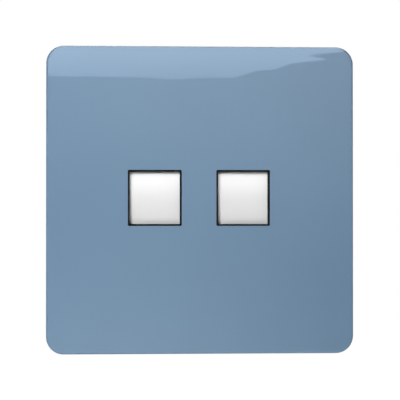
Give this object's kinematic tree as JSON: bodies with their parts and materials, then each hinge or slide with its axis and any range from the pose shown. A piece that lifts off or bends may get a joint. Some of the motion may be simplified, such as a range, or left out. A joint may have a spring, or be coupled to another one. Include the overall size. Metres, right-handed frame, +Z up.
{
  "type": "double data socket",
  "caption": "Square gloss wall plate clipped over a screw-fixed frame, with side-by-side data jacks behind white spring-loaded sliding shutters.",
  "frame": {"origin": "centre of the line between the fixing slots, on the wall plane at the back of the mounting frame", "axes": "+X to the right as seen from the front, +Y from the front into the wall, +Z up; the plate faces -Y"},
  "size_m": [0.087, 0.0276, 0.087],
  "materials": {
    "plate_blue": "high gloss grey-blue moulding",
    "frame_white": "satin off-white moulding",
    "module_black": "fine satin black moulding",
    "shutter_white": "semi-gloss white moulding",
    "spring_steel": "drawn spring wire",
    "jack_black": "satin black moulding",
    "carrier_grey": "satin dark grey moulding",
    "contact_gold": "gold plated",
    "board_green": "green solder resist",
    "terminal_white": "satin white moulding",
    "blade_tin": "tin plated"
  },
  "bodies": {
    "socket": {"face_plate": "plate_blue", "mounting_frame": "frame_white", "module_front_left": "module_black", "module_front_right": "module_black", "module_back_left": "module_black", "module_back_right": "module_black", "shutter_spring_left": "spring_steel", "shutter_spring_right": "spring_steel", "jack_housing_left": "jack_black", "jack_housing_right": "jack_black", "contact_carrier_left": "carrier_grey", "contact_carrier_right": "carrier_grey", "jack_contacts_left": "contact_gold", "jack_contacts_right": "contact_gold", "jack_board_left": "board_green", "jack_board_right": "board_green", "idc_block_left": "terminal_white", "idc_block_right": "terminal_white", "idc_contacts_left": "blade_tin", "idc_contacts_right": "blade_tin"},
    "left_shutter": {"shutter_left": "shutter_white"},
    "right_shutter": {"shutter_right": "shutter_white"}
  },
  "joints": [
    {"name": "shutter_left_slide", "type": "slide", "parent": "socket", "child": "left_shutter", "axis": [0, 0, 1], "range_m": [0, 0.0148], "stiffness_N_per_m": 30, "springref_m": -0.008, "deforming": ["shutter_spring_left"]},
    {"name": "shutter_right_slide", "type": "slide", "parent": "socket", "child": "right_shutter", "axis": [0, 0, 1], "range_m": [0, 0.0148], "stiffness_N_per_m": 30, "springref_m": -0.008, "deforming": ["shutter_spring_right"]}
  ]
}
